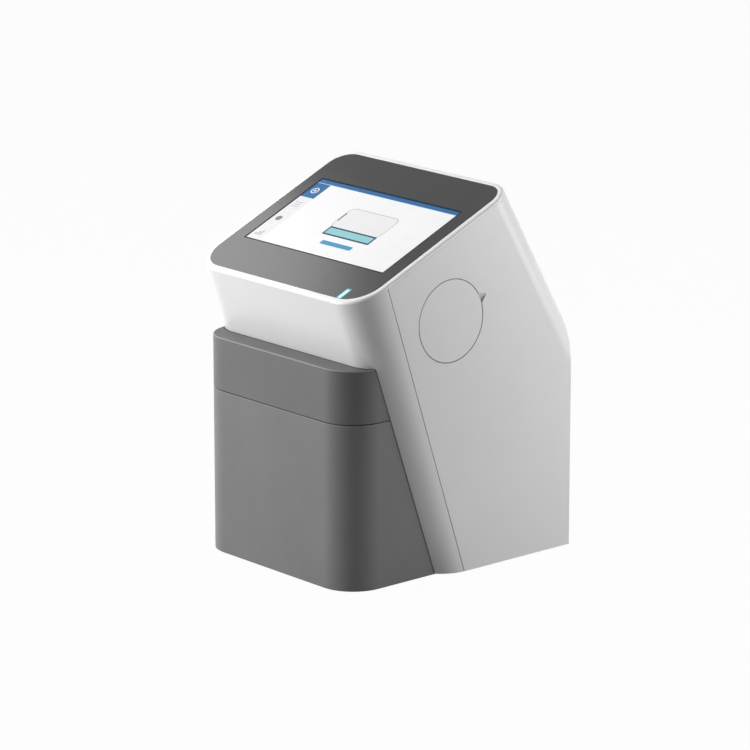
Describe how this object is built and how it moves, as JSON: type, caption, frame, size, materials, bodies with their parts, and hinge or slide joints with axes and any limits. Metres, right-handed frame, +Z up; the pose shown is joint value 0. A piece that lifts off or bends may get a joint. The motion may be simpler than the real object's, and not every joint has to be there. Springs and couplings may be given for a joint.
{
  "type": "veterinary chemistry analyzer",
  "caption": "Bench analyzer with a leaning white casing, a sloped touch screen, a motor driven reagent drawer in a grey front unit and a round switch cover.",
  "frame": {"origin": "on the table under the middle of the outer box", "axes": "+Z up, -Y the front with the drawer, +X the user's right, the side with the round switch cover"},
  "size_m": [0.22, 0.242, 0.3281],
  "materials": {
    "sheet_steel": "zinc plated sheet",
    "rubber": "matte",
    "white_casing": "satin moulded white",
    "side_panel": "satin moulded off-white",
    "screw_steel": "zinc plated",
    "grey_unit": "fine textured dark grey",
    "dark_glass": "polished, printed dark grey behind",
    "screen_face": "lit display face",
    "status_lens": "lit clear lens",
    "black_plastic": "fine texture",
    "lens": "coated lens",
    "aluminium": "milled",
    "circuit_board": "solder mask",
    "gear_plastic": "acetal",
    "tray_plastic": "moulded light grey"
  },
  "bodies": {
    "housing": {"base_plate": "sheet_steel", "rubber_feet": "rubber", "front_casing": "white_casing", "right_side_cover": "side_panel", "left_side_cover": "side_panel", "rear_panel": "side_panel", "rear_screws": "screw_steel", "lower_front_cover": "grey_unit", "top_glass": "dark_glass", "display_screen": "screen_face", "display_frame": "sheet_steel", "status_light": "status_lens", "chassis": "sheet_steel", "left_rail": "sheet_steel", "right_rail": "sheet_steel", "reader_head": "black_plastic", "reader_lenses": "lens", "heating_block": "aluminium", "main_board": "circuit_board", "board_standoffs": "screw_steel", "power_supply": "sheet_steel", "power_inlet": "black_plastic", "port_block": "sheet_steel", "fan_frame": "black_plastic", "motor_bracket": "sheet_steel", "drawer_motor": "screw_steel", "switch_well": "black_plastic", "switch_frame": "black_plastic"},
    "drawer": {"drawer_front": "grey_unit", "drawer_tray": "tray_plastic", "left_runner": "aluminium", "right_runner": "aluminium", "drawer_rack": "gear_plastic"},
    "pinion": {"drive_pinion": "gear_plastic", "pinion_shaft": "screw_steel"},
    "fan": {"fan_rotor": "black_plastic"},
    "rocker": {"power_rocker": "black_plastic"},
    "round_cover": {"switch_cover": "side_panel"}
  },
  "joints": [
    {"name": "drawer_slide", "type": "slide", "parent": "housing", "child": "drawer", "axis": [0, -1, 0], "range_m": [0, 0.09]},
    {"name": "pinion_spin", "type": "hinge", "parent": "housing", "child": "pinion", "pos_m": [0, -0.055, 0.14188], "axis": [1, 0, 0], "range_deg": [0, 540]},
    {"name": "fan_spin", "type": "hinge", "parent": "housing", "child": "fan", "pos_m": [0, 0.118, 0.099], "axis": [0, 1, 0], "continuous": true},
    {"name": "rocker_press", "type": "hinge", "parent": "housing", "child": "rocker", "pos_m": [0.0945, -0.0178, 0.2248], "axis": [0, 1, 0], "range_deg": [-16, 0]},
    {"name": "cover_pull", "type": "slide", "parent": "housing", "child": "round_cover", "axis": [1, 0, 0], "range_m": [0, 0.03]}
  ],
  "couplings": [
    {"joint": "pinion_spin", "follows": "drawer_slide", "rad_per_m": 104.17}
  ]
}
